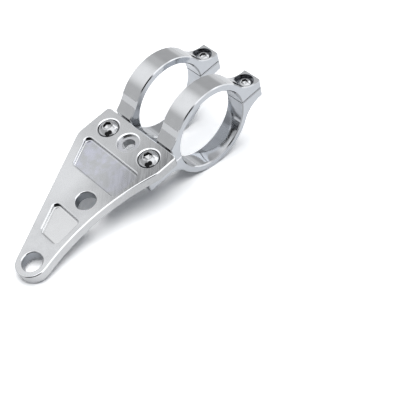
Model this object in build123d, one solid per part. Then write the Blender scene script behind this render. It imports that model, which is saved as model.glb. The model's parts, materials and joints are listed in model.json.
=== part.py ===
from build123d import *
import math
import os

# Headlight mounting bracket: a tapered arm plate held on one fork leg by two split clamps.
# All lengths are in millimetres. The fork axis runs along Y and the origin lies on it,
# midway between the clamps. X runs from the lamp end of the arm towards the clamp ears.
# The bracket is drawn with its arm level, then laid down the way it rests on a table.

# Fork leg and the two clamp rings
fork_diameter = 41.0
ring_wall = 3.8
ring_width = 11.0
clamp_spacing = 30.0
bore_edge_break = 0.5
clamp_edge_break = 0.45

# Feet that stack under the arm, with their screw line measured from the outside of the ring.
# The saddle's fillet would run out below the face of the arm, but the seat for the arm cuts it off.
bolt_from_ring = 10.7
foot_overhang = 7.5
saddle_foot_thickness = 3.2
cap_foot_thickness = 5.2
saddle_fillet = 20.0
cap_fillet = 10.0
shoulder_drop = 2.7

# Ears that are pinched together: screw line, reach past it, flat left beyond the fillet
pinch_from_ring = 4.2
ear_overhang = 5.5
ear_thickness = 5.5
ear_land = 1.0
ear_gap = 0.5

# Arm plate, measured from the bolt line (X towards the fork) and the centre line (Y)
plate_thickness = 5.6
plate_side = 4.7
end_overhang = 8.85
end_corner_radius = 2.0
bend_from_bolts = 11.2
bend_radius = 8.0
waist_from_bolts = 3.1
waist_arc_radius = 120.0
waist_blend_radius = 12.0
lamp_hole_diameter = 10.0
lamp_hole_from_bolts = 71.5
lamp_hole_offset = 16.4
tip_radius = 8.0
spare_hole_diameter = 10.0
spare_hole_from_bolts = 34.9
spare_hole_offset = 9.9
plate_edge_break = 0.5
hole_edge_break = 0.5

# Pockets milled into the outer face
pocket_depth = 2.0
pocket_corner_radius = 2.4
pocket_floor_fillet = 0.9
pocket_edge_break = 0.5
pocket_rail = 5.0
large_pocket_start = 9.3
large_pocket_length = 16.2
large_pocket_near = 18.8
small_pocket_start = 43.9
small_pocket_length = 15.4
small_pocket_near_head = 16.7
small_pocket_near_foot = 18.1

# Button-head screws through the arm and the feet
mounting_thread = 6.0
mounting_length = 15.0
mounting_head_diameter = 10.5
mounting_head_height = 3.3
mounting_key = 4.0
mounting_key_depth = 2.0

# Button-head screws that pinch the ears
pinch_thread = 5.0
pinch_length = 12.0
pinch_head_diameter = 8.4
pinch_head_height = 2.5
pinch_key = 3.0
pinch_key_depth = 1.5

# Fits between screws, holes and the milled seat of the arm
shank_clearance = 0.6
mounting_head_clearance = 0.6
pinch_head_clearance = 1.0
thread_clearance = 0.1
shoulder_clearance = 0.8
plate_counterbore_depth = 1.5
ear_counterbore_depth = 2.6
screw_tip_chamfer = 0.8

# Shape of a button head: upright rim below the round dome, flat crown as a share of the key
head_rim = 0.5
crown_to_key = 0.62

# Levels above the split plane, and positions that follow from the sizes above
bore_radius = fork_diameter / 2
ring_radius = bore_radius + ring_wall
plate_back = saddle_foot_thickness
plate_face = plate_back + plate_thickness
clamp_offset = clamp_spacing / 2
half_width = clamp_offset + ring_width / 2 + plate_side
bolt_line = -ring_radius - bolt_from_ring
plate_end = bolt_line + end_overhang
shoulder = plate_end + shoulder_clearance
foot_end = bolt_line - foot_overhang
pinch_line = ring_radius + pinch_from_ring
ear_end = pinch_line + ear_overhang
mounting_seat = plate_face - plate_counterbore_depth
pinch_seat = ear_thickness - ear_counterbore_depth
lamp_hole = Vector(bolt_line - lamp_hole_from_bolts, -lamp_hole_offset)
spare_hole = Vector(bolt_line - spare_hole_from_bolts, -spare_hole_offset)
bend_point = Vector(bolt_line - bend_from_bolts, half_width)
waist_point = Vector(bolt_line - waist_from_bolts, -half_width)

# Fillet that touches the ring and meets the top of the ear just short of its end
fillet_end = ear_end - ear_land
ear_fillet = (fillet_end**2 + ear_thickness**2 - ring_radius**2) / (2 * (ring_radius - ear_thickness))

# Straight edge of the arm: it leaves the bend and touches the rounded tip
to_tip = lamp_hole - bend_point
straight_angle = math.atan2(to_tip.Y, to_tip.X) - math.asin(tip_radius / to_tip.length)
straight_length = math.sqrt(to_tip.length**2 - tip_radius**2)
straight_direction = Vector(math.cos(straight_angle), math.sin(straight_angle))
straight_touch = bend_point + straight_direction * straight_length

# Hollow edge of the arm: an arc through the waist point that touches the rounded tip
to_waist = waist_point - lamp_hole
touch_distance = waist_arc_radius + tip_radius
along = (touch_distance**2 - waist_arc_radius**2 + to_waist.length**2) / (2 * to_waist.length)
aside = math.sqrt(touch_distance**2 - along**2)
waist_axis = to_waist.normalized()
waist_normal = Vector(waist_axis.Y, -waist_axis.X)
waist_centre = lamp_hole + waist_axis * along + waist_normal * aside
waist_touch = lamp_hole + (waist_centre - lamp_hole).normalized() * tip_radius

# Tilt at which the ring bottoms and the lower rim of the tip rest on one flat table
tip_reach = tip_radius - lamp_hole.X
rest_distance = math.hypot(tip_reach, plate_back)
rest_angle = math.asin(ring_radius / rest_distance) + math.atan2(plate_back, tip_reach)
laid_down = Rot(0, -math.degrees(rest_angle), 0)


def box_face(x_low, y_low, x_high, y_high):
    """A flat rectangle given by two opposite corners."""
    width = x_high - x_low
    height = y_high - y_low
    return Pos(x_low, y_low) * Rectangle(width, height, align=(Align.MIN, Align.MIN))


def round_corners(face, points, radius):
    """Round the corners of a flat face that lie nearest to the given points."""
    corners = [face.vertices().sort_by_distance(point)[0] for point in points]
    return fillet(corners, radius)


def upright(x, y, z, radius, height):
    """A cylinder standing on level z."""
    base = (Align.CENTER, Align.CENTER, Align.MIN)
    return Pos(x, y, z) * Cylinder(radius, height, align=base)


def flare(x, y, z, low_radius, high_radius, height):
    """A cone frustum standing on level z, used to break the rim of a hole."""
    base = (Align.CENTER, Align.CENTER, Align.MIN)
    return Pos(x, y, z) * Cone(low_radius, high_radius, height, align=base)


def through_hole(centre, radius):
    """A round hole right through the arm with both rims broken."""
    rim_radius = radius + hole_edge_break
    rim_start = plate_face - hole_edge_break
    hole = upright(centre.X, centre.Y, plate_back, radius, plate_thickness)
    hole += flare(centre.X, centre.Y, rim_start, radius, rim_radius, hole_edge_break)
    hole += flare(centre.X, centre.Y, plate_back, rim_radius, radius, hole_edge_break)
    return hole


def arm_outline():
    """Outline of the arm: square wide end, straight edge, round tip, hollow edge."""
    far_corner = Vector(plate_end, half_width)
    near_corner = Vector(plate_end, -half_width)
    tip_middle = (straight_touch - lamp_hole) + (waist_touch - lamp_hole)
    tip_point = lamp_hole + tip_middle.normalized() * tip_radius
    chord_middle = (waist_touch + waist_point) * 0.5
    hollow_point = waist_centre + (chord_middle - waist_centre).normalized() * waist_arc_radius
    outline = Line(far_corner, bend_point)
    outline += Line(bend_point, straight_touch)
    outline += ThreePointArc(straight_touch, tip_point, waist_touch)
    outline += ThreePointArc(waist_touch, hollow_point, waist_point)
    outline += Line(waist_point, near_corner)
    outline += Line(near_corner, far_corner)
    face = make_face(outline)
    face = round_corners(face, [far_corner, near_corner], end_corner_radius)
    face = round_corners(face, [bend_point], bend_radius)
    return round_corners(face, [waist_point], waist_blend_radius)


def rail_y(x):
    """Edge of the pockets that runs beside the straight edge, one rail width inside it."""
    inward = pocket_rail / math.cos(straight_angle)
    return bend_point.Y + (x - bend_point.X) * math.tan(straight_angle) + inward


def pocket(start, length, near_head, near_foot):
    """A four-sided pocket whose far wall follows the straight edge of the arm."""
    head = bolt_line - start
    foot = head - length
    corners = [
        Vector(head, rail_y(head)),
        Vector(foot, rail_y(foot)),
        Vector(foot, -near_foot),
        Vector(head, -near_head),
    ]
    face = round_corners(make_face(Polyline(*corners, close=True)), corners, pocket_corner_radius)
    body = extrude(Pos(0, 0, plate_face - pocket_depth) * face, amount=2 * pocket_depth)
    return fillet(body.faces().sort_by(Axis.Z)[0].edges(), pocket_floor_fillet)


def arm_plate():
    """The flat arm with its pockets, lamp hole, spare holes and screw counterbores."""
    plate = extrude(Pos(0, 0, plate_back) * arm_outline(), amount=plate_thickness)
    plate = chamfer(plate.faces().sort_by(Axis.Z)[-1].edges(), plate_edge_break)
    plate = chamfer(plate.faces().sort_by(Axis.Z)[0].edges(), plate_edge_break)
    plate -= pocket(large_pocket_start, large_pocket_length, large_pocket_near, large_pocket_near)
    plate -= pocket(small_pocket_start, small_pocket_length, small_pocket_near_head, small_pocket_near_foot)
    rims = [wire.edges() for wire in plate.faces().sort_by(Axis.Z)[-1].inner_wires()]
    plate = chamfer([edge for rim in rims for edge in rim], pocket_edge_break)
    plate -= through_hole(lamp_hole, lamp_hole_diameter / 2)
    plate -= through_hole(spare_hole, spare_hole_diameter / 2)
    shank_radius = (mounting_thread + shank_clearance) / 2
    head_radius = (mounting_head_diameter + mounting_head_clearance) / 2
    rim_radius = head_radius + hole_edge_break
    rim_start = plate_face - hole_edge_break
    for y in (-clamp_offset, 0, clamp_offset):
        plate -= upright(bolt_line, y, plate_back, shank_radius, plate_thickness)
        plate -= upright(bolt_line, y, mounting_seat, head_radius, plate_counterbore_depth)
        plate -= flare(bolt_line, y, rim_start, head_radius, rim_radius, hole_edge_break)
    return plate


def half_profile(foot_thickness, foot_fillet):
    """Side view of one clamp half: half ring, foot towards the arm and pinched ear."""
    face = Circle(ring_radius)
    face += box_face(foot_end, 0, 0, foot_thickness)
    face += box_face(0, 0, ear_end, ear_thickness)
    face &= box_face(foot_end, 0, ear_end, ring_radius)
    foot_corner = Vector(-math.sqrt(ring_radius**2 - foot_thickness**2), foot_thickness)
    ear_corner = Vector(math.sqrt(ring_radius**2 - ear_thickness**2), ear_thickness)
    face = round_corners(face, [foot_corner], foot_fillet)
    face = round_corners(face, [ear_corner], ear_fillet)
    face -= Circle(bore_radius)
    return face - box_face(0, 0, ear_end, ear_gap / 2)


def side_edges(half):
    """All edges around the two flat sides of a clamp half."""
    return [edge for face in half.faces().filter_by(Axis.Y) for edge in face.edges()]


def is_arc(edge, radius):
    """True for a circular edge of the given radius."""
    return edge.geom_type == GeomType.CIRCLE and abs(edge.radius - radius) < 0.01


def clamp_half(profile):
    """One clamp half lying above the split plane, before its screw holes."""
    half = extrude(Plane.XZ * profile, amount=ring_width / 2, both=True)
    half = chamfer([edge for edge in side_edges(half) if is_arc(edge, bore_radius)], bore_edge_break)
    rim_radius = bore_radius + bore_edge_break
    return chamfer([edge for edge in side_edges(half) if not is_arc(edge, rim_radius)], clamp_edge_break)


def clamp_saddle():
    """Clamp half screwed under the arm, with the counterbored ear."""
    profile = half_profile(plate_face - shoulder_drop, saddle_fillet)
    profile -= box_face(foot_end, saddle_foot_thickness, shoulder, ring_radius)
    saddle = clamp_half(profile)
    shank_radius = (mounting_thread + shank_clearance) / 2
    saddle -= upright(bolt_line, 0, 0, shank_radius, saddle_foot_thickness)
    pinch_radius = (pinch_thread + shank_clearance) / 2
    saddle -= upright(pinch_line, 0, 0, pinch_radius, pinch_seat)
    head_radius = (pinch_head_diameter + pinch_head_clearance) / 2
    saddle -= upright(pinch_line, 0, pinch_seat, head_radius, ring_radius)
    return saddle


def clamp_cap():
    """Clamp half that closes the ring from below, with the threaded foot and ear."""
    cap = clamp_half(half_profile(cap_foot_thickness, cap_fillet))
    mounting_radius = (mounting_thread + thread_clearance) / 2
    cap -= upright(bolt_line, 0, 0, mounting_radius, cap_foot_thickness)
    pinch_radius = (pinch_thread + thread_clearance) / 2
    cap -= upright(pinch_line, 0, 0, pinch_radius, ring_radius)
    return mirror(cap, Plane.XY)


def button_screw(thread, length, head_diameter, head_height, key, key_depth):
    """A hexagon-socket button-head screw with its head seat on level zero."""
    radius = thread / 2
    point_radius = radius - screw_tip_chamfer
    point_start = screw_tip_chamfer - length
    head_radius = head_diameter / 2
    crown_radius = key * crown_to_key
    dome_rise = (head_radius**2 + head_rim**2 - crown_radius**2 - head_height**2) / 2
    dome_centre = dome_rise / (head_rim - head_height)
    dome_radius = math.hypot(head_radius, head_rim - dome_centre)
    dome_x = (head_radius + crown_radius) / 2
    dome_z = dome_centre + math.sqrt(dome_radius**2 - dome_x**2)
    profile = Polyline((crown_radius, head_height), (0, head_height), (0, -length), (point_radius, -length))
    profile += Line((point_radius, -length), (radius, point_start))
    profile += Polyline((radius, point_start), (radius, 0), (head_radius, 0), (head_radius, head_rim))
    profile += ThreePointArc((head_radius, head_rim), (dome_x, dome_z), (crown_radius, head_height))
    screw = revolve(Plane.XZ * make_face(profile), Axis.Z)
    socket = RegularPolygon(key / 2, 6, major_radius=False)
    return screw - extrude(Pos(0, 0, head_height - key_depth) * socket, amount=key_depth)


mounting_screw = button_screw(
    mounting_thread,
    mounting_length,
    mounting_head_diameter,
    mounting_head_height,
    mounting_key,
    mounting_key_depth,
)
pinch_screw = button_screw(
    pinch_thread,
    pinch_length,
    pinch_head_diameter,
    pinch_head_height,
    pinch_key,
    pinch_key_depth,
)
saddle = clamp_saddle()
cap = clamp_cap()
far = Pos(0, clamp_offset, 0)
near = Pos(0, -clamp_offset, 0)
nodes = {
    "arm_plate": [arm_plate()],
    "far_clamp_saddle": [far * saddle],
    "far_clamp_cap": [far * cap],
    "near_clamp_saddle": [near * saddle],
    "near_clamp_cap": [near * cap],
    "mounting_screws": [side * Pos(bolt_line, 0, mounting_seat) * mounting_screw for side in (far, near)],
    "pinch_screws": [side * Pos(pinch_line, 0, pinch_seat) * pinch_screw for side in (far, near)],
}

os.makedirs("parts", exist_ok=True)
for name, pieces in nodes.items():
    solids = [solid for piece in pieces for solid in (laid_down * piece).solids()]
    node = solids[0] if len(solids) == 1 else Compound(solids)
    export_step(node, "parts/" + name + ".step")
    box = node.bounding_box()
    print(name, len(solids), "solids", round(node.volume, 1), "mm3", [round(v, 2) for v in box.size])
print("rest tilt", round(math.degrees(rest_angle), 2), "degrees")
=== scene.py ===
# %% [markdown]
# # Headlight mounting bracket
# This lesson dresses a motorbike headlight bracket: a flat milled arm, two split clamp rings and four
# button-head screws. The solid pieces come ready-made at their real size, so the first step is to load
# them. Nothing here moves or reshapes a loaded piece: the lesson is about finishes, screws, light and
# camera.

# %% Load the solid pieces
import json
import math

import bmesh
import bpy
from mathutils import Matrix, Vector


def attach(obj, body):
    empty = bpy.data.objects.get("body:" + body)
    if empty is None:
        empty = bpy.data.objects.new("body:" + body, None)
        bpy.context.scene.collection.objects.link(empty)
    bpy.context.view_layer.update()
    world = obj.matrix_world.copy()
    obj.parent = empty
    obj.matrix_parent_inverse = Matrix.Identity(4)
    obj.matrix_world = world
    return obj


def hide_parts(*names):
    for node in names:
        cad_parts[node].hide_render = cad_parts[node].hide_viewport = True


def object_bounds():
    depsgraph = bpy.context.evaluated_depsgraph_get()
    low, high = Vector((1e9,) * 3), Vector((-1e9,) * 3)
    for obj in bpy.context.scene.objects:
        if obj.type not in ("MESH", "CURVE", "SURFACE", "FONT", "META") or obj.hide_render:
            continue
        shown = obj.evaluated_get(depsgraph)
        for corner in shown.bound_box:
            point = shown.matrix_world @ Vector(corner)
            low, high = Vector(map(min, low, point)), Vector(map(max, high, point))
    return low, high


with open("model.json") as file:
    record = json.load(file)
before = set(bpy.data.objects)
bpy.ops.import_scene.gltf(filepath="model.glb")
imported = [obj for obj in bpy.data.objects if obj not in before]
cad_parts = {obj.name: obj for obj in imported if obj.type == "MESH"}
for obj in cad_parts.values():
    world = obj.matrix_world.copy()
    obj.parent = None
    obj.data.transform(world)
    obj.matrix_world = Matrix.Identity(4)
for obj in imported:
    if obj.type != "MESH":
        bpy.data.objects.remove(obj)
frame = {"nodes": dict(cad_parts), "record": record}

MM = 0.001
solid_low, solid_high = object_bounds()
solids = frame["nodes"]
print("loaded", sorted(solids), "box in mm", [round(v / MM, 1) for v in solid_high - solid_low])

# %% [markdown]
# ## Where the arm lies
# The bracket lies on a table on its ring bottoms and the tip of its arm, so the arm is tilted. Brush
# lines and milling marks follow the arm, not the table. The tilt could be read off a picture, but the
# lamp hole runs square through the arm, so its axis gives the tilt exactly. The highest point along that
# axis is on the face of the arm.

# %% Tilt and face of the arm
mounts = {mount["name"]: mount for mount in frame["record"]["mounts"]}
arm_normal = Vector(mounts["lamp_hole"]["axis"]).normalized()
arm_along = Vector((arm_normal.z, 0, -arm_normal.x))
arm_tilt = math.atan2(-arm_normal.x, arm_normal.z)
face_level = max(vertex.co.dot(arm_normal) for vertex in solids["arm_plate"].data.vertices) / MM
print("arm tilt in degrees", round(math.degrees(arm_tilt), 2), "face level in mm", round(face_level, 2))

# %% [markdown]
# ## Where the screws sit
# Two screws hold the arm on the clamps, and two smaller ones pinch the rings shut. They are common
# button-head sizes, given here in millimetres. Their places could be typed in too, but a screw belongs
# exactly where its solid stands, so the solid's own points give the place: along the arm's normal their
# highest point is the crown, and across it their middle is the axis.

# %% Sizes and places of the screws
SCREW_SIZES = {
    "mounting_screws": {
        "thread": 6.0, "pitch": 1.0, "length": 15.0,
        "head": 10.5, "height": 3.3, "key": 4.0, "depth": 2.0,
    },
    "pinch_screws": {
        "thread": 5.0, "pitch": 0.8, "length": 12.0,
        "head": 8.4, "height": 2.5, "key": 3.0, "depth": 1.5,
    },
}


def screw_seats(node):
    """Where the crown of each screw of a node lies, far one first."""
    points = [vertex.co for vertex in solids[node].data.vertices]
    found = []
    for side in (1, -1):
        own = [point for point in points if point.y * side > 0]
        crown = max(point.dot(arm_normal) for point in own)
        shifts = [point.dot(arm_along) for point in own]
        sides = [point.y for point in own]
        middle = arm_along * (min(shifts) + max(shifts)) / 2
        found.append(middle + Vector((0, (min(sides) + max(sides)) / 2, 0)) + arm_normal * crown)
    return found


seats = {node: screw_seats(node) for node in SCREW_SIZES}
for node, places in seats.items():
    print(node, "crowns in mm", [[round(v / MM, 1) for v in place] for place in places])

# %% [markdown]
# ## A short way to write shader nodes
# A finish is a small graph of nodes, which could be wired by hand in the shader editor. As code it can be
# read and run again, but written out in full each node takes many lines. So one helper makes a node and
# either links or sets each of its inputs, and the others give short names to the sums that come up again
# and again.


# %% Nodes and sums
def add(tree, kind, inputs=None, **settings):
    """Make a node, set its options, and link or set its inputs."""
    node = tree.nodes.new("ShaderNode" + kind)
    for option, value in settings.items():
        setattr(node, option, value)
    for key, value in (inputs or {}).items():
        if isinstance(value, bpy.types.NodeSocket):
            tree.links.new(value, node.inputs[key])
        else:
            node.inputs[key].default_value = value
    return node


def math_node(tree, operation, first, second=0.0):
    """One sum on two values."""
    return add(tree, "Math", {0: first, 1: second}, operation=operation).outputs["Value"]


def product(tree, *values):
    """All values multiplied together."""
    result = values[0]
    for value in values[1:]:
        result = math_node(tree, "MULTIPLY", result, value)
    return result


def vector_node(tree, operation, first, second=(0.0, 0.0, 0.0)):
    """One sum on two places or directions."""
    return add(tree, "VectorMath", {0: first, 1: second}, operation=operation).outputs["Vector"]


def scaled(tree, direction, factor):
    """A direction made longer or shorter."""
    inputs = {0: direction, "Scale": factor}
    return add(tree, "VectorMath", inputs, operation="SCALE").outputs["Vector"]


def dot(tree, first, second):
    """How far one direction points along another."""
    return add(tree, "VectorMath", {0: first, 1: second}, operation="DOT_PRODUCT").outputs["Value"]


def axes(tree, vector):
    """The three parts of a place or direction."""
    return add(tree, "SeparateXYZ", {"Vector": vector}).outputs


def distance(tree, first, second):
    """How far off a point is that lies two distances away, square to each other."""
    corner = add(tree, "CombineXYZ", {"X": first, "Y": second}).outputs["Vector"]
    return add(tree, "VectorMath", {0: corner}, operation="LENGTH").outputs["Value"]


print("made helpers for nodes and sums")


# %% Ranges, clouds and places
SPREAD = (0.35, 0.65)
WIDE_SPREAD = (0.3, 0.7)
FINE_DETAIL = 4.0


def remap(tree, value, old_low, old_high, low, high, smooth=True):
    """Turn one range of values into another, holding its ends."""
    limits = {"Value": value, "From Min": old_low, "From Max": old_high, "To Min": low, "To Max": high}
    kind = "SMOOTHSTEP" if smooth else "LINEAR"
    return add(tree, "MapRange", limits, interpolation_type=kind).outputs["Result"]


def ramp(tree, value, start, end):
    """A share that grows smoothly from zero at the start to one at the end."""
    return remap(tree, value, start, end, 0.0, 1.0)


def noise(tree, place, scale, detail=3.0):
    """Cloudy values around one half, most of them within the spreads above."""
    return add(tree, "TexNoise", {"Vector": place, "Scale": scale, "Detail": detail}).outputs["Fac"]


def millimetres(tree):
    """Place on the bracket in millimetres, turned so that the arm lies level."""
    place = add(tree, "TexCoord").outputs["Object"]
    turned = {"Vector": place, "Rotation": (0, arm_tilt, 0), "Scale": (1 / MM,) * 3}
    return add(tree, "Mapping", turned).outputs["Vector"]


print("most cloud values lie within", SPREAD)


# %% Colours and surfaces
def grey(level, blue=0.0):
    """A neutral colour with a lean to blue: a little less red, and half as much again more blue."""
    return (level * (1 - blue), level, level * (1 + 1.5 * blue), 1.0)


def blend(tree, share, first, second):
    """Mix two values by a share."""
    return add(tree, "Mix", {"Factor": share, "A": first, "B": second}).outputs["Result"]


def blend_colour(tree, share, first, second):
    """Mix two colours by a share."""
    mix = add(tree, "Mix", {"Factor": share, "A": first, "B": second}, data_type="RGBA")
    return mix.outputs["Result"]


def layered(tree, colour, layers):
    """Lay one colour after another over the first, each by its own share."""
    for share, tone in layers:
        colour = blend_colour(tree, share, colour, tone)
    return colour


def blank_finish(name):
    """A new material with no nodes yet."""
    finish = bpy.data.materials.new(name)
    finish.use_nodes = True
    finish.node_tree.nodes.clear()
    return finish, finish.node_tree


def metal_surface(tree, metal):
    """Close a finish with a metal surface that takes the given inputs."""
    surface = add(tree, "BsdfPrincipled", {"Metallic": 1.0, **metal}).outputs["BSDF"]
    add(tree, "OutputMaterial", {"Surface": surface})


print("a grey that leans to blue", [round(part, 3) for part in grey(0.6, 0.03)])

# %% [markdown]
# ## Satin alloy of the arm
# The arm was milled from bar and rubbed by hand, so its faces are satin with faint clouds and fine lines
# along its length. Over them two tones are painted light: a painted sheen brightens the middle of its
# straight far side, and painted shade darkens the near side of its wide end in streaks across the lines.
# Painted pictures could show this, but they need unwrapping and blur close up. So one material works it
# out from the place on the arm in millimetres. A pair of numbers for a place says where a tone starts and
# where it is full.

# %% Painted shade and painted sheen on the face
WIDE_END_SHADE_SIDE = (0.0, -24.0)
WIDE_END_SHADE_END = (-78.0, -48.0)
WIDE_END_SHADE_TURN = math.radians(45)
WIDE_END_SHADE_STREAKS = (1.5, 0.12, 1.0)
STREAK_STRENGTH = (0.7, 1.1)
BRIGHT_SIDE = (-7.0, 5.0)
BRIGHT_END = (-42.0, -56.0)
BRIGHT_TIP = (-68.0, -88.0)
BRIGHT_AT_TIP = 0.35


def wide_end_shade_share(tree, place):
    """How far painted shade darkens the near side of the wide end, in streaks."""
    parts = axes(tree, place)
    side = remap(tree, parts["Y"], *WIDE_END_SHADE_SIDE, 0.0, 1.0, smooth=False)
    end = ramp(tree, parts["X"], *WIDE_END_SHADE_END)
    turned = add(tree, "Mapping", {"Vector": place, "Rotation": (0, 0, WIDE_END_SHADE_TURN)}).outputs["Vector"]
    streaks = noise(tree, vector_node(tree, "MULTIPLY", turned, WIDE_END_SHADE_STREAKS), 1.0, FINE_DETAIL)
    return product(tree, side, end, remap(tree, streaks, *SPREAD, *STREAK_STRENGTH))


def painted_sheen_share(tree, place):
    """How far a painted sheen brightens the middle of the straight far side, less towards the tip."""
    parts = axes(tree, place)
    side = ramp(tree, parts["Y"], *BRIGHT_SIDE)
    end = ramp(tree, parts["X"], *BRIGHT_END)
    tip = remap(tree, parts["X"], *BRIGHT_TIP, 1.0, BRIGHT_AT_TIP)
    return product(tree, side, end, tip)


# The printed range is where the painted shade on the near side of the wide end starts and is full.
print("rubbed from", WIDE_END_SHADE_SIDE[0], "to", WIDE_END_SHADE_SIDE[1], "mm across the arm")

# %% [markdown]
# ## Pockets of the arm
# The two pockets were milled and not rubbed afterwards: their floors are cloudy and lean to blue. The walls
# in their rear corners are painted dark, as a painted dark reflection. The floors could have a material of
# their own, but then their faces would have to be picked one by one. Depth below the face finds the
# floors, and the direction of a wall its corners.

# %% Pocket floors and corners
FLOOR_DEPTH = (1.3, 1.8)
FLOOR_FACING = (0.8, 0.97)
FLOOR_CLOUDS = 0.22
FLOOR_TONES = (grey(0.56, 0.015), (0.628, 0.635, 0.715, 1.0))
SMALL_FLOOR = (-62.0, -80.0)
SMALL_FLOOR_TONE = grey(0.71, 0.003)
CORNER_TOP = (0.3, 0.5)
CORNER_FOOT = (2.4, 2.2)
CORNER_LOOK = Vector((-0.68, -0.73, 0.0))
CORNER_LOOK_RANGE = (0.6, 0.8)
POCKETS_START = -43.0
POCKETS_END = -90.0
CORNERS_SIDE = -6.0


def depth_below_face(tree, place):
    """Millimetres below the face of the arm."""
    return math_node(tree, "SUBTRACT", face_level, axes(tree, place)["Z"])


def pocket_share(tree, place, facing):
    """One on the bluish milled floors of the pockets."""
    deep = ramp(tree, depth_below_face(tree, place), *FLOOR_DEPTH)
    return product(tree, deep, ramp(tree, facing, *FLOOR_FACING))


def pocket_colour(tree, place):
    """Cloudy metal with a lean to blue, brighter in the small pocket."""
    clouds = ramp(tree, noise(tree, place, FLOOR_CLOUDS, FINE_DETAIL), *SPREAD)
    small = ramp(tree, axes(tree, place)["X"], *SMALL_FLOOR)
    return blend_colour(tree, small, blend_colour(tree, clouds, *FLOOR_TONES), SMALL_FLOOR_TONE)


def corner_shade_share(tree, place, normal):
    """One in the rear corner of each pocket, where the wall is painted dark as a painted reflection."""
    parts = axes(tree, place)
    depth = depth_below_face(tree, place)
    wall = product(tree, ramp(tree, depth, *CORNER_TOP), ramp(tree, depth, *CORNER_FOOT))
    past_start = math_node(tree, "LESS_THAN", parts["X"], POCKETS_START)
    before_end = math_node(tree, "GREATER_THAN", parts["X"], POCKETS_END)
    rear = math_node(tree, "GREATER_THAN", parts["Y"], CORNERS_SIDE)
    looks = ramp(tree, dot(tree, normal, CORNER_LOOK), *CORNER_LOOK_RANGE)
    return product(tree, wall, past_start, before_end, rear, looks)


print("pocket floors deeper than", FLOOR_DEPTH[0], "mm below the face")

# %% [markdown]
# ## Holes of the arm
# Drilled walls and the walls around sunk screw heads are painted darker than the face, as painted shade
# inside the holes. They could be picked by hand as well, but the loaded pieces already say where they are:
# the record gives the axes of the large holes, and the screws give those of the counterbores. A distance
# from an axis is enough.

# %% Drilled holes and counterbores
LARGE_HOLES = ("lamp_hole", "spare_arm_hole")
HOLE_WALL = (0.1, 0.03)
COUNTERBORE_GAP = 0.5
COUNTERBORE_WALL = (0.25, 0.05)
COUNTERBORE_RIM = 6.4


def drilled_wall_shade_share(tree, place):
    """One on the drilled walls of the two large holes, which are painted darker as shade."""
    parts = axes(tree, place)
    nearest = None
    for name in LARGE_HOLES:
        centre = Vector(mounts[name]["pos_m"]) / MM
        along = math_node(tree, "SUBTRACT", parts["X"], centre.dot(arm_along))
        aside = math_node(tree, "SUBTRACT", parts["Y"], centre.y)
        past = math_node(tree, "SUBTRACT", distance(tree, along, aside), mounts[name]["dims"]["r_mm"])
        nearest = past if nearest is None else math_node(tree, "MINIMUM", nearest, past)
    return ramp(tree, nearest, *HOLE_WALL)


def from_screws(tree, place, node):
    """Distances along and across the arm from the nearer of the two screws of a node."""
    seat = seats[node][0] / MM
    parts = axes(tree, place)
    along = math_node(tree, "SUBTRACT", parts["X"], seat.dot(arm_along))
    aside = math_node(tree, "SUBTRACT", math_node(tree, "ABSOLUTE", parts["Y"]), seat.y)
    return along, aside


def sunk_wall_shade_share(tree, place, node):
    """One on the walls around the heads of the two screws of a node, which are painted darker as shade."""
    wall = SCREW_SIZES[node]["head"] / 2 + COUNTERBORE_GAP
    reach = distance(tree, *from_screws(tree, place, node))
    return ramp(tree, math_node(tree, "SUBTRACT", reach, wall), *COUNTERBORE_WALL)


def counterbore_rims(tree, place):
    """One around the three counterbores of the arm, the empty one in the middle too."""
    along, outer = from_screws(tree, place, "mounting_screws")
    middle = math_node(tree, "ABSOLUTE", axes(tree, place)["Y"])
    aside = math_node(tree, "MINIMUM", math_node(tree, "ABSOLUTE", outer), middle)
    return math_node(tree, "LESS_THAN", distance(tree, along, aside), COUNTERBORE_RIM)


print("large holes in mm", [2 * mounts[name]["dims"]["r_mm"] for name in LARGE_HOLES])

# %% [markdown]
# ## Rounded edge breaks of the arm
# Buffing rounds the small edge breaks, and a rounded edge catches light that a flat one misses. A bevel
# modifier could round them, but it would reshape a loaded piece. So only the shading direction turns
# over, from the face towards the side, across the width of each edge break. Edges towards the clamps and
# around the counterbores turn over less, and so they mirror the bright studio above them.

# %% Shading across the edge breaks
EDGE_BREAK = 0.5
EDGE_FACING = 0.7
EDGE_FACING_RANGE = 0.12
EDGE_DEPTH_RANGE = 0.1
TURN_AT_FACE = 0.3
TURN_AT_SIDE = 0.85
SOFT_TURN_AT_SIDE = 0.4


def rounded_edges(tree, place, normal, facing, soft):
    """Where the edge breaks are, and shading directions that turn over across them."""
    depth = depth_below_face(tree, place)
    most = remap(tree, soft, 0.0, 1.0, TURN_AT_SIDE, SOFT_TURN_AT_SIDE)
    turn = remap(tree, depth, 0.0, EDGE_BREAK, TURN_AT_FACE, most, smooth=False)
    upright = scaled(tree, arm_normal, facing)
    outward = vector_node(tree, "NORMALIZE", vector_node(tree, "SUBTRACT", normal, upright))
    sideways = scaled(tree, outward, math_node(tree, "SINE", turn))
    facewards = scaled(tree, arm_normal, math_node(tree, "COSINE", turn))
    rounded = vector_node(tree, "ADD", sideways, facewards)
    off_slope = math_node(tree, "ABSOLUTE", math_node(tree, "SUBTRACT", facing, EDGE_FACING))
    sloped = math_node(tree, "LESS_THAN", off_slope, EDGE_FACING_RANGE)
    shallow = math_node(tree, "LESS_THAN", depth, EDGE_BREAK + EDGE_DEPTH_RANGE)
    edge = product(tree, sloped, shallow)
    shading = add(tree, "Mix", {"Factor": edge, "A": normal, "B": rounded}, data_type="VECTOR")
    return edge, shading.outputs["Result"]


print("edge breaks of", EDGE_BREAK, "mm shaded as if rounded")

# %% [markdown]
# ## The arm's finish put together
# The real arm has all these marks in one surface. They could be stacked as several shaders, but metal
# differs from place to place only in tone and in roughness. So one metal surface is enough: its colour is
# laid on in layers, the back is smoother because it was buffed, and the brush lines are a very low
# relief.

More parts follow.
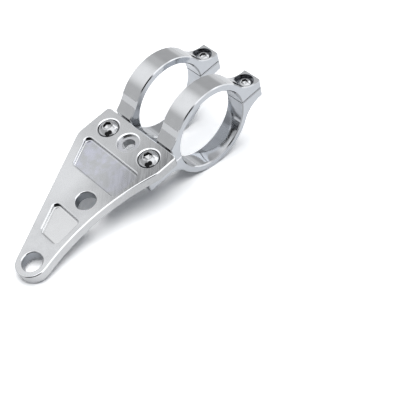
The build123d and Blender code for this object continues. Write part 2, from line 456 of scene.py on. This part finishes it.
# %% Colour and roughness of the arm
SATIN_TONES = (grey(0.61, 0.008), grey(0.66, 0.008))
SATIN_SPREAD = (0.36, 0.64)
SHEEN_TONE = grey(0.76, 0.008)
WIDE_END_SHADE_TONE = grey(0.3, 0.01)
WIDE_END_SHADE_ON_SIDES = 0.37
# Buffed edge breaks are brighter, and these tones also hold a painted highlight along them.
BUFFED_AND_HIGHLIGHT_TONES = (grey(0.76, 0.01), grey(0.96, 0.01))
CORNER_SHADE_TONE = grey(0.06, 0.02)
DRILLED_WALL_SHADE_TONE = grey(0.36, 0.05)
SUNK_WALL_SHADE_TONE = grey(0.12, 0.04)
SIDE_TO_FACE = (0.3, 0.6)
FACE_TO_WALL = (0.5, 0.3)
SIDE_TO_BACK = (-0.7, -0.95)
FACE_ROUGHNESS = (0.29, 0.21)
SIDE_ROUGHNESS = 0.16
EDGE_ROUGHNESS = 0.12
BACK_ROUGHNESS = (0.08, 0.2)


def arm_colour(tree, place, normal, facing, tone, edge, soft):
    """Satin clouds, and over them every brighter or darker part."""
    satin = blend_colour(tree, ramp(tree, tone, *SATIN_SPREAD), *SATIN_TONES)
    # Painted shade: the near side of the wide end is painted darker in streaks, less on the sides.
    wide_end_shade = product(tree, wide_end_shade_share(tree, place), remap(tree, facing, *SIDE_TO_FACE, WIDE_END_SHADE_ON_SIDES, 1.0))
    walls = ramp(tree, facing, *FACE_TO_WALL)
    layers = [
        # Painted sheen: the middle of the straight far side is painted brighter.
        (painted_sheen_share(tree, place), SHEEN_TONE),
        (pocket_share(tree, place, facing), pocket_colour(tree, place)),
        (wide_end_shade, WIDE_END_SHADE_TONE),
        # Buffed edges with a painted highlight, brightest towards the clamps and around the counterbores.
        (edge, blend_colour(tree, soft, *BUFFED_AND_HIGHLIGHT_TONES)),
        # Painted dark reflection in the rear corners of the pockets.
        (corner_shade_share(tree, place, normal), CORNER_SHADE_TONE),
        # Painted shade on the drilled walls of the two large holes.
        (drilled_wall_shade_share(tree, place), DRILLED_WALL_SHADE_TONE),
        # Painted shade on the walls around the mounting screw heads.
        (product(tree, sunk_wall_shade_share(tree, place, "mounting_screws"), walls), SUNK_WALL_SHADE_TONE),
    ]
    return layered(tree, satin, layers)


def arm_roughness(tree, facing, tone, lines, edge):
    """Satin face, smoother sides and edge breaks, and a buffed back with fine lines."""
    face = remap(tree, tone, *WIDE_SPREAD, *FACE_ROUGHNESS)
    rough = blend(tree, ramp(tree, facing, *SIDE_TO_FACE), SIDE_ROUGHNESS, face)
    rough = blend(tree, edge, rough, EDGE_ROUGHNESS)
    back = remap(tree, lines, *SPREAD, *BACK_ROUGHNESS)
    return blend(tree, ramp(tree, facing, *SIDE_TO_BACK), rough, back)


print("satin tones of the arm", [round(tone[1], 2) for tone in SATIN_TONES])

# %% Arm finish
ARM_CLOUDS = 0.16
ARM_GRAIN = 1.6
BRUSH_LINES = (0.07, 3.4, 3.4)
BRUSH_HEIGHT = 0.05
BRUSH_STRENGTH = 0.08
GRAIN_SHARE = 0.4
TOWARDS_CLAMPS = (0.3, 0.55)


def arm_finish():
    """Satin alloy for the arm."""
    finish, tree = blank_finish("arm_satin_alloy")
    place = millimetres(tree)
    normal = add(tree, "NewGeometry").outputs["Normal"]
    facing = dot(tree, normal, arm_normal)
    towards = ramp(tree, dot(tree, normal, arm_along), *TOWARDS_CLAMPS)
    soft = math_node(tree, "MAXIMUM", towards, counterbore_rims(tree, place))
    edge, shading = rounded_edges(tree, place, normal, facing, soft)
    grain = noise(tree, place, ARM_GRAIN)
    tone = blend(tree, GRAIN_SHARE, noise(tree, place, ARM_CLOUDS, FINE_DETAIL), grain)
    lines = noise(tree, vector_node(tree, "MULTIPLY", place, BRUSH_LINES), 1.0, FINE_DETAIL)
    height = blend(tree, GRAIN_SHARE, lines, grain)
    relief = {"Height": height, "Strength": BRUSH_STRENGTH, "Distance": BRUSH_HEIGHT * MM, "Normal": shading}
    metal_surface(tree, {
        "Base Color": arm_colour(tree, place, normal, facing, tone, edge, soft),
        "Roughness": arm_roughness(tree, facing, tone, lines, edge),
        "Normal": add(tree, "Bump", relief).outputs["Normal"],
    })
    return finish


arm_satin = arm_finish()
print(arm_satin.name, len(arm_satin.node_tree.nodes), "nodes")

# %% [markdown]
# ## Polished alloy of the clamps
# The rings were turned and then polished, so they mirror the studio softly. What is left of the turning
# shows as very fine lines: around the ring on its round faces, and in circles on its flat sides.
# Unwrapping could carry them, but lines that depend only on the place along the fork, or only on the
# distance from it, need none. The split between the ears is darker. Painted shade darkens the edge breaks
# of the flat sides at the ears and along the lower half, the walls around the screw heads, the bore low
# down and the sides where the clamps face each other. Place and direction find these too.

# %% Dark split and painted shade of the clamps
fork_radius = mounts["fork_clamp"]["dims"]["r_mm"]
SPLIT_HALF = (0.8, 0.65)
SPLIT_START = (fork_radius + 0.4, fork_radius + 0.9)
RIM_FACING = 0.7
RIM_FACING_RANGE = 0.15
RIM_EARS = (4.0, 13.0)
RIM_LOW = (0.0, -8.0)
INNER_FACING = (-0.85, -0.95)
INNER_FEET = (-10.0, -19.0)
BORE_WALL = (fork_radius + 0.4, fork_radius + 0.2)
BED_LEVEL = (-6.0, -15.0)


def split_share(tree, place):
    """One along the dull edges of the split between the ears."""
    parts = axes(tree, place)
    near = ramp(tree, math_node(tree, "ABSOLUTE", parts["Z"]), *SPLIT_HALF)
    return product(tree, near, ramp(tree, parts["X"], *SPLIT_START))


def rim_shade_share(tree, place, sideways):
    """How much painted shade darkens the edge breaks of the flat sides: at the ears and along the lower
    half.
    """
    parts = axes(tree, place)
    off_slope = math_node(tree, "ABSOLUTE", math_node(tree, "SUBTRACT", sideways, RIM_FACING))
    sloped = math_node(tree, "LESS_THAN", off_slope, RIM_FACING_RANGE)
    ears = ramp(tree, parts["X"], *RIM_EARS)
    low = ramp(tree, parts["Z"], *RIM_LOW)
    return product(tree, sloped, math_node(tree, "MAXIMUM", ears, low))


def facing_clamps_shade_share(tree, place, normal):
    """How much painted shade darkens the sides with which the two clamps face each other, most of all down
    at the feet.
    """
    parts = axes(tree, place)
    inward = product(tree, axes(tree, normal)["Y"], math_node(tree, "SIGN", parts["Y"]))
    return product(tree, ramp(tree, inward, *INNER_FACING), ramp(tree, parts["X"], *INNER_FEET))


print("fork bore in mm", 2 * fork_radius)

# %% Clamp finish
ROUND_TONES = (grey(0.615, 0.01), grey(0.635, 0.01))
FLAT_TONES = (grey(0.615, 0.035), grey(0.635, 0.035))
LOW_BORE_SHADE_TONE = grey(0.5, 0.02)
RIM_SHADE_TONE = grey(0.40, 0.02)
# One tone for the darker split between the ears and for painted shade around the pinch screw heads.
SPLIT_AND_SHADE_TONE = grey(0.34, 0.03)
FACING_CLAMPS_SHADE_TONE = grey(0.3, 0.04)
ROUND_TO_SIDE = (0.6, 0.9)
CLAMP_CLOUDS = 0.22
TURNING_LINES = 3.0
TURNING_HEIGHT = 0.01
TURNING_STRENGTH = 0.02
LINES_IN_CLOUDS = (0.15, 0.4)
CLAMP_ROUGHNESS = (0.06, 0.1)


def clamp_finish():
    """Polished alloy for both clamps."""
    finish, tree = blank_finish("clamp_polished_alloy")
    place = millimetres(tree)
    parts = axes(tree, place)
    radius = distance(tree, parts["X"], parts["Z"])
    normal = add(tree, "NewGeometry").outputs["Normal"]
    sideways = math_node(tree, "ABSOLUTE", axes(tree, normal)["Y"])
    side = ramp(tree, sideways, *ROUND_TO_SIDE)
    turned = blend(tree, side, parts["Y"], radius)
    groove = add(tree, "CombineXYZ", {"X": turned}).outputs["Vector"]
    lines = noise(tree, groove, TURNING_LINES, FINE_DETAIL)
    clouds = noise(tree, place, CLAMP_CLOUDS)
    shade = ramp(tree, clouds, *WIDE_SPREAD)
    bore = ramp(tree, radius, *BORE_WALL)
    layers = [
        (math_node(tree, "MAXIMUM", side, bore), blend_colour(tree, shade, *FLAT_TONES)),
        # Painted shade: the bore is painted darker towards its bottom.
        (product(tree, bore, ramp(tree, parts["Z"], *BED_LEVEL)), LOW_BORE_SHADE_TONE),
        # Painted shade on the edge breaks of the flat sides.
        (rim_shade_share(tree, place, sideways), RIM_SHADE_TONE),
        # Painted shade on the walls around the pinch screw heads.
        (sunk_wall_shade_share(tree, place, "pinch_screws"), SPLIT_AND_SHADE_TONE),
        (split_share(tree, place), SPLIT_AND_SHADE_TONE),
        # Painted shade where the two clamps face each other.
        (facing_clamps_shade_share(tree, place, normal), FACING_CLAMPS_SHADE_TONE),
    ]
    relief = {"Height": lines, "Strength": TURNING_STRENGTH, "Distance": TURNING_HEIGHT * MM}
    metal_surface(tree, {
        "Base Color": layered(tree, blend_colour(tree, shade, *ROUND_TONES), layers),
        "Roughness": remap(tree, product(tree, lines, clouds), *LINES_IN_CLOUDS, *CLAMP_ROUGHNESS),
        "Normal": add(tree, "Bump", relief).outputs["Normal"],
    })
    return finish


clamp_polish = clamp_finish()
print(clamp_polish.name, len(clamp_polish.node_tree.nodes), "nodes")

# %% [markdown]
# ## Bright chrome of the screws
# The screw heads are plated and mirror nearly everything. The walls of their hexagon sockets, which were
# punched, are painted dark as painted shade. A plain mirror would be the shortest way, but it looks
# computed. Faint clouds in tone and roughness keep the reflections alive.

# %% Screw finish
SCREW_SLOTS = {"mounting_screws": "mounting_screw_chrome", "pinch_screws": "pinch_screw_chrome"}
CHROME_CLOUDS = 0.9
CHROME_TONES = (grey(0.50, 0.01), grey(0.56, 0.01))
CHROME_ROUGHNESS = (0.03, 0.09)
SOCKET_SHADE_TONE = grey(0.12, 0.01)
SOCKET_FACING = 0.3
SOCKET_DEPTH_RANGE = 0.1


def socket_shade_share(tree, place, node):
    """One on the walls of the hexagon sockets."""
    floor = seats[node][0].dot(arm_normal) / MM - SCREW_SIZES[node]["depth"]
    facing = dot(tree, add(tree, "NewGeometry").outputs["Normal"], arm_normal)
    upright = math_node(tree, "LESS_THAN", math_node(tree, "ABSOLUTE", facing), SOCKET_FACING)
    above = math_node(tree, "GREATER_THAN", axes(tree, place)["Z"], floor - SOCKET_DEPTH_RANGE)
    return product(tree, upright, above)


def screw_finish(node):
    """Chrome for the screws of one node."""
    finish, tree = blank_finish(SCREW_SLOTS[node] + "_plate")
    place = millimetres(tree)
    clouds = noise(tree, place, CHROME_CLOUDS)
    chrome = blend_colour(tree, ramp(tree, clouds, *WIDE_SPREAD), *CHROME_TONES)
    metal_surface(tree, {
        # Painted shade: the walls of the hexagon sockets are painted dark.
        "Base Color": layered(tree, chrome, [(socket_shade_share(tree, place, node), SOCKET_SHADE_TONE)]),
        "Roughness": remap(tree, clouds, *WIDE_SPREAD, *CHROME_ROUGHNESS),
    })
    return finish


screw_chrome = {node: screw_finish(node) for node in SCREW_SLOTS}
print("chrome", [finish.name for finish in screw_chrome.values()])

# %% [markdown]
# ## Finishes on the pieces
# The bracket is one satin arm, four polished clamp halves and four plated screws. Each finish could be
# given by hand in the material panel. A table of piece names does it for all of them at once, and shows
# at a glance which piece has which finish.

# %% Give the loaded pieces their finishes
piece_finish = {"arm_plate": arm_satin, **screw_chrome}
for clamp in ("far_clamp_saddle", "far_clamp_cap", "near_clamp_saddle", "near_clamp_cap"):
    piece_finish[clamp] = clamp_polish
for piece, finish in piece_finish.items():
    solids[piece].material_slots[0].material = finish
print("finishes", {piece: finish.name for piece, finish in piece_finish.items()})

# %% [markdown]
# ## Screws with real threads
# The solids hold plain shanks, but a screw that stands out below the clamp shows its thread. A screw
# modifier could wind one, but its ends would have to be closed and joined to the head. So each screw is
# made again here from one ring of points after another, from the point of the shank up to the drilled
# cone at the bottom of the hexagon socket. On the shank the radius follows a helix. All rings have the
# same number of points, so neighbours join into quads with no seams to close.

# %% Rings of a screw
ROUND = 72
THREAD_DEPTH = 0.55
THREAD_FLANK = 1.25
RUN_OUT = 1.5
POINT_CHAMFER = 0.8


def circle(radius, level):
    """A level ring of points."""
    turns = [2 * math.pi * step / ROUND for step in range(ROUND)]
    return [Vector((radius * math.cos(turn), radius * math.sin(turn), level)) for turn in turns]


def hexagon(flat, level):
    """A ring of points on a hexagon with the given half width across its flats."""
    points = []
    for step in range(ROUND):
        turn = 2 * math.pi * step / ROUND
        reach = flat / math.cos((turn % (math.pi / 3)) - math.pi / 6)
        points.append(Vector((reach * math.cos(turn), reach * math.sin(turn), level)))
    return points


def thread_ring(size, level):
    """A ring of the shank: its radius swings between crest and root along a helix."""
    crest = size["thread"] / 2
    depth = THREAD_DEPTH * size["pitch"]
    fade = min(1.0, -level / (RUN_OUT * size["pitch"]))
    taper = min(crest, crest - POINT_CHAMFER + (level + size["length"]))
    ring = circle(1.0, level)
    for step, point in enumerate(ring):
        phase = (level / size["pitch"] - step / ROUND) % 1.0
        groove = max(0.0, THREAD_FLANK * (1 - abs(2 * phase - 1)) - (THREAD_FLANK - 1) / 2)
        radius = min(crest - depth * fade * min(1.0, groove), taper)
        point.x *= radius
        point.y *= radius
    return ring


print("points in a ring", ROUND)

# %% A screw as a stack of rings
HEAD_RIM = 0.5
RIM_ROUND = 0.25
RIM_STEPS = 4
DOME_STEPS = 14
THREAD_STEPS = 12
CROWN_TO_KEY = 0.62
SOCKET_RIM = 0.1
DRILL_TIP = 0.1
DRILL_SLOPE = 0.55


def head_rings(size):
    """Rings of the button head, from its underside over the dome to the rim of the socket."""
    head = size["head"] / 2
    crown = size["key"] * CROWN_TO_KEY
    rise = (head**2 + HEAD_RIM**2 - crown**2 - size["height"] ** 2) / 2
    centre = rise / (HEAD_RIM - size["height"])
    dome = math.hypot(head, HEAD_RIM - centre)
    low_angle = math.atan2(HEAD_RIM - centre, head)
    high_angle = math.atan2(size["height"] - centre, crown)
    rings = [circle(head - RIM_ROUND, 0.0)]
    for step in range(1, RIM_STEPS + 1):
        turn = math.pi / 2 * step / RIM_STEPS
        rings.append(circle(head - RIM_ROUND * (1 - math.sin(turn)), RIM_ROUND * (1 - math.cos(turn))))
    for step in range(DOME_STEPS + 1):
        turn = low_angle + (high_angle - low_angle) * step / DOME_STEPS
        rings.append(circle(dome * math.cos(turn), centre + dome * math.sin(turn)))
    return rings


def screw_rings(size):
    """All rings of one screw, from the point of its shank to the bottom of its socket."""
    flat = size["key"] / 2
    floor = size["height"] - size["depth"]
    step_height = size["pitch"] / THREAD_STEPS
    count = round(size["length"] / step_height)
    rings = [thread_ring(size, -size["length"] + step_height * step) for step in range(count)]
    rings.append(circle(size["thread"] / 2, 0.0))
    rings += head_rings(size)
    rings.append(hexagon(flat + SOCKET_RIM, size["height"]))
    rings.append(hexagon(flat, size["height"] - SOCKET_RIM))
    rings.append(hexagon(flat, floor))
    rings.append(circle(DRILL_TIP, floor - DRILL_SLOPE * (flat - DRILL_TIP)))
    return rings


print("rings in a screw", {node: len(screw_rings(size)) for node, size in SCREW_SIZES.items()})

# %% [markdown]
# ## Put the screws in
# Each threaded screw takes the place of its plain solid. It could be made as a separate object and turned
# into place, but the two screws of a node belong to one piece, so both are written into one mesh, already
# tilted with the arm. Their sockets are turned differently, as screws end up when they are done up tight.

# %% Replace the plain screws
SOCKET_TURNS = {"mounting_screws": (12, 40), "pinch_screws": (5, 28)}
SHARP_EDGE = math.radians(32)


def stack(mesh, rings, move):
    """Join rings into a closed skin of quads, with a fan at each end."""
    rows = [[mesh.verts.new(move @ point) for point in ring] for ring in rings]
    for below, above in zip(rows, rows[1:]):
        for step in range(ROUND):
            after = (step + 1) % ROUND
            mesh.faces.new((below[step], below[after], above[after], above[step]))
    for row, level, flip in ((rows[0], rings[0][0].z, True), (rows[-1], rings[-1][0].z, False)):
        middle = mesh.verts.new(move @ Vector((0, 0, level)))
        for step in range(ROUND):
            after = (step + 1) % ROUND
            order = (row[after], row[step], middle) if flip else (row[step], row[after], middle)
            mesh.faces.new(order)


def make_screws(node):
    """Both screws of a node as one threaded piece that stands for it."""
    name = "threaded_" + node
    size = SCREW_SIZES[node]
    rings = screw_rings(size)
    mesh = bmesh.new()
    tilt = Matrix.Rotation(-arm_tilt, 4, "Y")
    for seat, turn in zip(seats[node], SOCKET_TURNS[node]):
        move = Matrix.Translation(seat) @ tilt @ Matrix.Rotation(math.radians(turn), 4, "Z")
        stack(mesh, rings, move @ Matrix.Scale(MM, 4) @ Matrix.Translation((0, 0, -size["height"])))
    data = bpy.data.meshes.new(name)
    mesh.to_mesh(data)
    mesh.free()
    data.materials.append(screw_chrome[node])
    data.shade_smooth()
    data.set_sharp_from_angle(angle=SHARP_EDGE)
    piece = bpy.data.objects.new(name, data)
    bpy.context.scene.collection.objects.link(piece)
    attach(piece, "root")
    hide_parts(node)
    print(name, len(data.polygons), "faces")


for node in SCREW_SIZES:
    make_screws(node)

# %% [markdown]
# ## White table
# The bracket lies on a white table that shows its soft shadow. The whole floor could be cut away and the
# shadow caught by itself, but metal also mirrors the table it lies on. So the table is a plain plane,
# white for the light that falls on it, a little whiter for the metal that mirrors it, and whiter still
# for the camera, so that it reads as a clean white sheet.

# %% Table
TABLE_HALF = 6.0
TABLE_WHITE = 0.9
TABLE_SEEN = 1.4
TABLE_MIRRORED = 0.98


def table_finish():
    """White that depends on what kind of ray meets it."""
    finish, tree = blank_finish("white_table")
    path = add(tree, "LightPath").outputs
    seen = math_node(tree, "MAXIMUM", path["Is Camera Ray"], path["Is Transmission Ray"])
    layers = [(path["Is Glossy Ray"], grey(TABLE_MIRRORED)), (seen, grey(TABLE_SEEN))]
    white = layered(tree, grey(TABLE_WHITE), layers)
    surface = add(tree, "BsdfDiffuse", {"Color": white}).outputs["BSDF"]
    add(tree, "OutputMaterial", {"Surface": surface})
    return finish


table_mesh = bpy.data.meshes.new("studio_table")
corners = [(x * TABLE_HALF, y * TABLE_HALF, solid_low.z) for x, y in ((-1, -1), (1, -1), (1, 1), (-1, 1))]
table_mesh.from_pydata(corners, [], [(0, 1, 2, 3)])
table_mesh.materials.append(table_finish())
table = bpy.data.objects.new("studio_table", table_mesh)
bpy.context.scene.collection.objects.link(table)
print("table at", round(solid_low.z / MM, 2), "mm")

# %% [markdown]
# ## What the metal mirrors
# Polished metal has no colour of its own: it looks the way its surroundings look. A picture of a real
# studio could be wrapped around the scene, but then no panel can be moved by itself. So the studio is
# drawn into the world by direction: pale walls, bright soft panels behind, beside, in front of and above
# the bracket, two dimmer patches, and a dark side where the camera stands. Rays that light the table see
# an even dim grey instead, and rays from the camera see white.

# %% Brightness of the studio
WALL = 0.66
GLOW = 0.70
PANEL = 1.2
SIDE_PANEL = 2.0
EDGE_GLOW = 0.86
FRONT_PANEL = 1.15
SHADE = 0.56
DIM = 0.25
OVERHEAD = 1.6
DARK = 0.03
EVEN_LIGHT = 0.085
STUDIO_BLUE = 0.01
EVEN_BLUE = 0.15


def studio_direction(heading, elevation):
    """Unit vector for a heading from +Y towards +X and a height above the horizon, in degrees."""
    heading, elevation = math.radians(heading), math.radians(elevation)
    level = math.cos(elevation)
    return Vector((math.sin(heading) * level, math.cos(heading) * level, math.sin(elevation)))


def soft_patch(tree, ray, centre, inner, outer):
    """One within the inner angle of a direction, zero past the outer angle."""
    towards = dot(tree, ray, centre)
    return ramp(tree, towards, math.cos(math.radians(outer)), math.cos(math.radians(inner)))


# Brightness, heading, elevation, and the angles within which a patch is full and past which it has gone.
patches = [
    (GLOW, -2, 58, 13, 38),
    (PANEL, -34, 51, 6, 32),
    (EDGE_GLOW, 66, 8, 14, 28),
    (SIDE_PANEL, 100, 14, 20, 32),
    (SIDE_PANEL, 97, 42, 8, 17),
    (SIDE_PANEL, 135, 24, 18, 30),
    (FRONT_PANEL, 166, 32, 16, 28),
    (OVERHEAD, 195, 66, 26, 38),
    (SHADE, 46, 29, 12, 22),
    (DIM, -14, 6, 9, 17),
    (DARK, 219, 38, 18, 26),
    (DARK, 248, 16, 20, 28),
]
print("studio patches", len(patches), "from brightness", DARK, "to", SIDE_PANEL)

# %% Draw the studio into the world
world = bpy.data.worlds.new("studio")
bpy.context.scene.world = world
world.use_nodes = True
sky = world.node_tree
sky.nodes.clear()
ray = add(sky, "TexCoord").outputs["Generated"]
path = add(sky, "LightPath").outputs
layers = []
for brightness, heading, elevation, inner, outer in patches:
    centre = studio_direction(heading, elevation)
    layers.append((soft_patch(sky, ray, centre, inner, outer), grey(brightness, STUDIO_BLUE)))
layers.append((path["Is Diffuse Ray"], grey(EVEN_LIGHT, EVEN_BLUE)))
seen = math_node(sky, "MAXIMUM", path["Is Camera Ray"], path["Is Transmission Ray"])
layers.append((seen, grey(1.0)))
studio = layered(sky, grey(WALL, STUDIO_BLUE), layers)
background = add(sky, "Background", {"Color": studio, "Strength": 1.0}).outputs["Background"]
add(sky, "OutputWorld", {"Surface": background})
print("world", world.name, len(sky.nodes), "nodes")

# %% [markdown]
# ## Key light
# The shadow is soft and lies close under the bracket, so the light is a broad lamp right overhead. An area
# lamp could do it, but it would light the table less towards its edges. A sun lamp with a wide disc
# lights all of it evenly. The overhead panel in the world already is its mirror image, so the lamp itself
# is kept out of the mirrors.

# %% Key lamp
KEY_STRENGTH = 2.6
KEY_DISC = 60
KEY_PLACE = (180, 88)
key_data = bpy.data.lights.new("key_light", "SUN")
key_data.energy = KEY_STRENGTH
key_data.angle = math.radians(KEY_DISC)
key = bpy.data.objects.new("key_light", key_data)
key.rotation_mode = "QUATERNION"
key.rotation_quaternion = studio_direction(*KEY_PLACE).to_track_quat("Z", "Y")
key.visible_glossy = False
bpy.context.scene.collection.objects.link(key)
print("key light at", KEY_PLACE[1], "degrees up, disc of", KEY_DISC, "degrees")

# %% [markdown]
# ## Camera
# The camera stands where the picture was taken: up at 46 degrees, to the left of the arm's near side. It
# could be placed by eye, but its place and lens come from fitting hole centres and edges, so the bracket
# lands on the same spot of the frame.

# %% Camera
CAMERA_PLACE = Vector((-210.85, -242.21, 261.70))
VIEW_HEADING = 43.13
VIEW_DROP = 45.95
FRAME_PIXELS = 416
FOCAL_PIXELS = 829.38
SENSOR = 36.0
CLIP_START = 10.0
camera_data = bpy.data.cameras.new("camera")
camera_data.sensor_width = SENSOR
camera_data.lens = SENSOR * FOCAL_PIXELS / FRAME_PIXELS
camera_data.clip_start = CLIP_START * MM
camera = bpy.data.objects.new("camera", camera_data)
camera.location = CAMERA_PLACE * MM
camera.rotation_mode = "QUATERNION"
camera.rotation_quaternion = studio_direction(VIEW_HEADING, -VIEW_DROP).to_track_quat("-Z", "Y")
bpy.context.scene.collection.objects.link(camera)
bpy.context.scene.camera = camera
bpy.context.scene.view_settings.view_transform = "Standard"
print("lens", round(camera_data.lens, 2), "mm")
